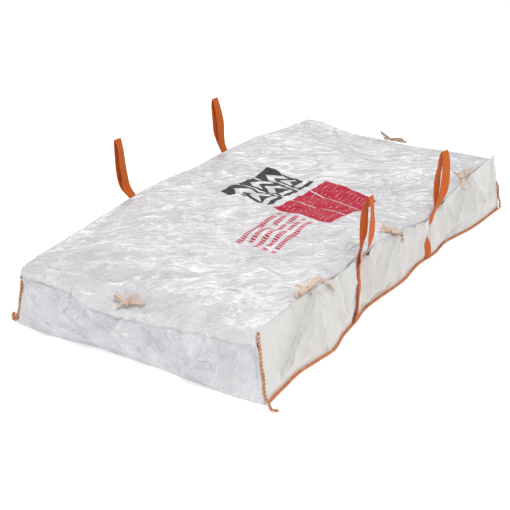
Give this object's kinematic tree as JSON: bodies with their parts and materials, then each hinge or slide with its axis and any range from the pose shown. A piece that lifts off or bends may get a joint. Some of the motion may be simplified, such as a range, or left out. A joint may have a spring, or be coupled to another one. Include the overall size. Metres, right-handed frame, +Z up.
{
  "type": "bulk bag",
  "caption": "Long low woven bulk bag for sheet goods, with a tied fabric lid, corded corner seams and standing webbing lifting loops.",
  "frame": {"origin": "on the floor, under the middle of the bag's length and width", "axes": "+X along the bag's length, +Y from the tied front side to the lid's hinge side, +Z up"},
  "size_m": [2.615, 1.5024, 0.6582],
  "materials": {
    "film_fabric": "coated, crinkled, slightly glossy",
    "woven_fabric": "woven, soft sheen",
    "webbing": "woven webbing",
    "seam_cord": "overlocked thread",
    "binding_tape": "woven tape",
    "stitching": "close thread",
    "cotton_tape": "soft woven tape"
  },
  "bodies": {
    "bag": {"base_panel": "film_fabric", "left_end_wall": "film_fabric", "right_end_wall": "film_fabric", "front_wall": "woven_fabric", "back_wall": "woven_fabric", "front_seam_binding": "binding_tape", "back_seam_binding": "binding_tape", "corner_cord_front_left": "seam_cord", "corner_cord_front_right": "seam_cord", "corner_cord_back_left": "seam_cord", "corner_cord_back_right": "seam_cord", "strap_front_left": "webbing", "strap_front_right": "webbing", "strap_back_left": "webbing", "strap_back_right": "webbing", "strap_bartacks": "stitching", "wall_tab_front_left": "cotton_tape", "wall_tab_front_centre": "cotton_tape", "wall_tab_front_right": "cotton_tape", "wall_tab_left_end": "cotton_tape", "wall_tab_right_end": "cotton_tape"},
    "lid": {"lid_panel": "film_fabric", "lid_hem_left": "film_fabric", "lid_hem_right": "film_fabric", "lid_tab_front_left": "cotton_tape", "lid_tab_front_centre": "cotton_tape", "lid_tab_front_right": "cotton_tape", "lid_tab_left_end": "cotton_tape", "lid_tab_right_end": "cotton_tape"},
    "loop_front_left": {"loop_front_left": "webbing"},
    "loop_front_right": {"loop_front_right": "webbing"},
    "loop_back_left": {"loop_back_left": "webbing"},
    "loop_back_right": {"loop_back_right": "webbing"},
    "bow_front_left": {"bow_front_left": "cotton_tape"},
    "bow_front_centre": {"bow_front_centre": "cotton_tape"},
    "bow_front_right": {"bow_front_right": "cotton_tape"},
    "bow_left_end": {"bow_left_end": "cotton_tape"},
    "bow_right_end": {"bow_right_end": "cotton_tape"}
  },
  "joints": [
    {"name": "lid_hinge", "type": "hinge", "parent": "bag", "child": "lid", "pos_m": [0, 0.606, 0.319], "axis": [-1, 0, 0], "range_deg": [0, 85]},
    {"name": "loop_front_left_fold", "type": "hinge", "parent": "bag", "child": "loop_front_left", "pos_m": [-0.45, -0.6185, 0.318], "axis": [1, 0, 0], "range_deg": [0, 135]},
    {"name": "loop_front_right_fold", "type": "hinge", "parent": "bag", "child": "loop_front_right", "pos_m": [0.385, -0.6185, 0.318], "axis": [1, 0, 0], "range_deg": [0, 135]},
    {"name": "loop_back_left_fold", "type": "hinge", "parent": "bag", "child": "loop_back_left", "pos_m": [-0.45, 0.6185, 0.318], "axis": [-1, 0, 0], "range_deg": [0, 135]},
    {"name": "loop_back_right_fold", "type": "hinge", "parent": "bag", "child": "loop_back_right", "pos_m": [0.385, 0.6185, 0.318], "axis": [-1, 0, 0], "range_deg": [0, 135]},
    {"name": "bow_front_left_flop", "type": "hinge", "parent": "lid", "child": "bow_front_left", "pos_m": [-0.88, -0.588, 0.329], "axis": [-1, 0, 0], "range_deg": [0, 90]},
    {"name": "bow_front_centre_flop", "type": "hinge", "parent": "lid", "child": "bow_front_centre", "pos_m": [-0.06, -0.588, 0.329], "axis": [-1, 0, 0], "range_deg": [0, 90]},
    {"name": "bow_front_right_flop", "type": "hinge", "parent": "lid", "child": "bow_front_right", "pos_m": [0.87, -0.588, 0.329], "axis": [-1, 0, 0], "range_deg": [0, 90]},
    {"name": "bow_left_end_flop", "type": "hinge", "parent": "lid", "child": "bow_left_end", "pos_m": [-1.2865, 0, 0.288], "axis": [0, 1, 0], "range_deg": [0, 90]},
    {"name": "bow_right_end_flop", "type": "hinge", "parent": "lid", "child": "bow_right_end", "pos_m": [1.2865, 0, 0.288], "axis": [0, -1, 0], "range_deg": [0, 90]}
  ]
}
